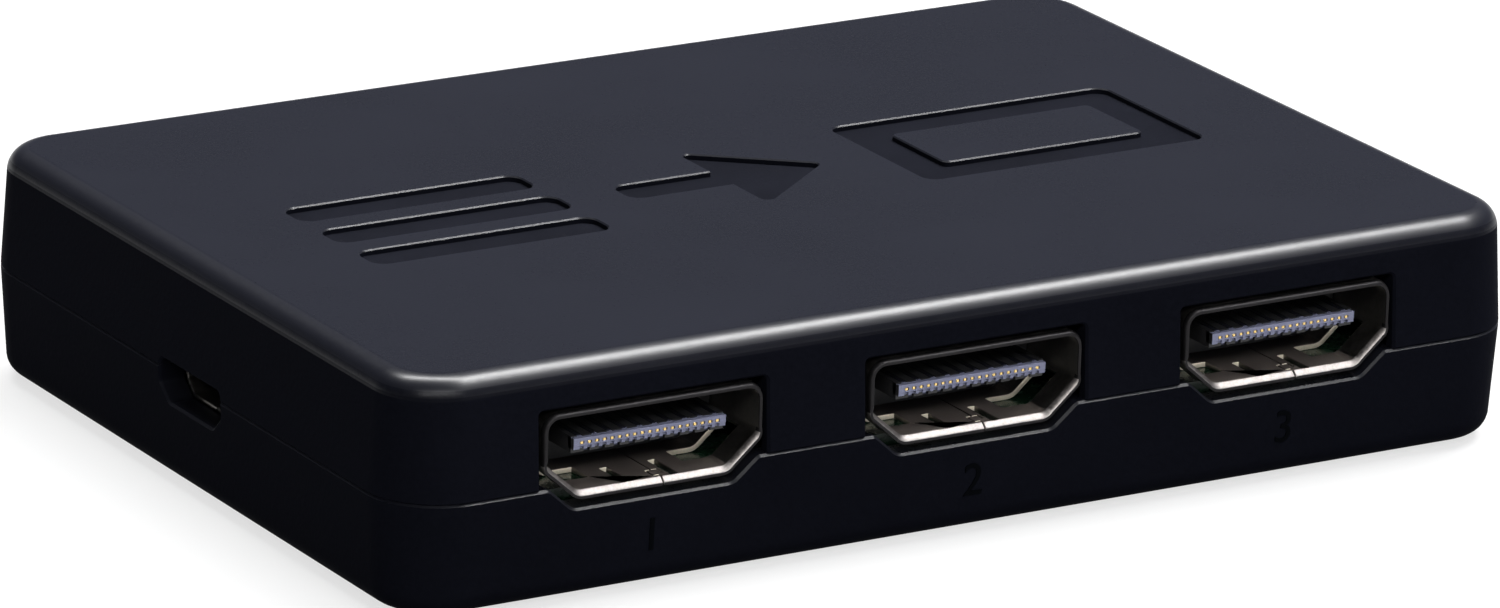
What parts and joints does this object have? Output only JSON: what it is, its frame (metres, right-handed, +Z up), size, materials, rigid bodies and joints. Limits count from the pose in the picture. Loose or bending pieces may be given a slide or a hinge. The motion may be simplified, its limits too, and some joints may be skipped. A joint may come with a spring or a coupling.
{
  "type": "hdmi switch box",
  "caption": "Flat two-part box that switches one of several video inputs on its front to one output on its back, with a side power jack and a select button.",
  "frame": {"origin": "middle of the surface that the feet stand on, under the middle of the case", "axes": "+Z up, +X along the case's length, inputs face -Y, power jack faces -X"},
  "size_m": [0.0774, 0.0548, 0.0147],
  "materials": {
    "case_plastic": "satin",
    "foot_rubber": "matte",
    "screw_steel": "zinc plated",
    "board_laminate": "solder mask",
    "plated_shell": "nickel plated",
    "socket_plastic": "moulded",
    "gold_contact": "gold plated",
    "button_plastic": "satin",
    "plunger_plastic": "moulded",
    "lamp_resin": "clear",
    "window_plastic": "smoked",
    "tinned_lead": "tinned",
    "capacitor_resin": "moulded",
    "ceramic": "fired",
    "chip_resin": "moulded"
  },
  "bodies": {
    "case": {"top_case": "case_plastic", "bottom_case": "case_plastic", "case_screws": "screw_steel", "foot_front_left": "foot_rubber", "foot_front_right": "foot_rubber", "foot_back_left": "foot_rubber", "foot_back_right": "foot_rubber", "circuit_board": "board_laminate", "input_1_shell": "plated_shell", "input_2_shell": "plated_shell", "input_3_shell": "plated_shell", "output_shell": "plated_shell", "input_1_insulator": "socket_plastic", "input_2_insulator": "socket_plastic", "input_3_insulator": "socket_plastic", "output_insulator": "socket_plastic", "input_1_contacts": "gold_contact", "input_2_contacts": "gold_contact", "input_3_contacts": "gold_contact", "output_contacts": "gold_contact", "power_jack_shell": "plated_shell", "power_jack_insulator": "socket_plastic", "power_jack_contacts": "gold_contact", "push_switch": "chip_resin", "push_switch_terminals": "tinned_lead", "lamp_1": "lamp_resin", "lamp_2": "lamp_resin", "lamp_3": "lamp_resin", "lamp_1_leads": "tinned_lead", "lamp_2_leads": "tinned_lead", "lamp_3_leads": "tinned_lead", "eye_window": "window_plastic", "eye_receiver": "chip_resin", "eye_leads": "tinned_lead", "switching_chip": "chip_resin", "switching_chip_leads": "tinned_lead", "control_chip": "chip_resin", "control_chip_leads": "tinned_lead", "voltage_regulator": "chip_resin", "regulator_leads": "tinned_lead", "bulk_capacitors": "capacitor_resin", "ceramic_capacitors": "ceramic", "resistors": "chip_resin", "surge_guards": "chip_resin"},
    "button": {"select_button": "button_plastic"},
    "plunger": {"switch_plunger": "plunger_plastic"}
  },
  "joints": [
    {"name": "button_press", "type": "slide", "parent": "case", "child": "button", "axis": [0, -1, 0], "range_m": [0, 0.0003], "stiffness_N_per_m": 4000},
    {"name": "plunger_press", "type": "slide", "parent": "case", "child": "plunger", "axis": [0, -1, 0], "range_m": [0, 0.0003]}
  ],
  "couplings": [
    {"joint": "plunger_press", "follows": "button_press", "ratio": 1}
  ]
}
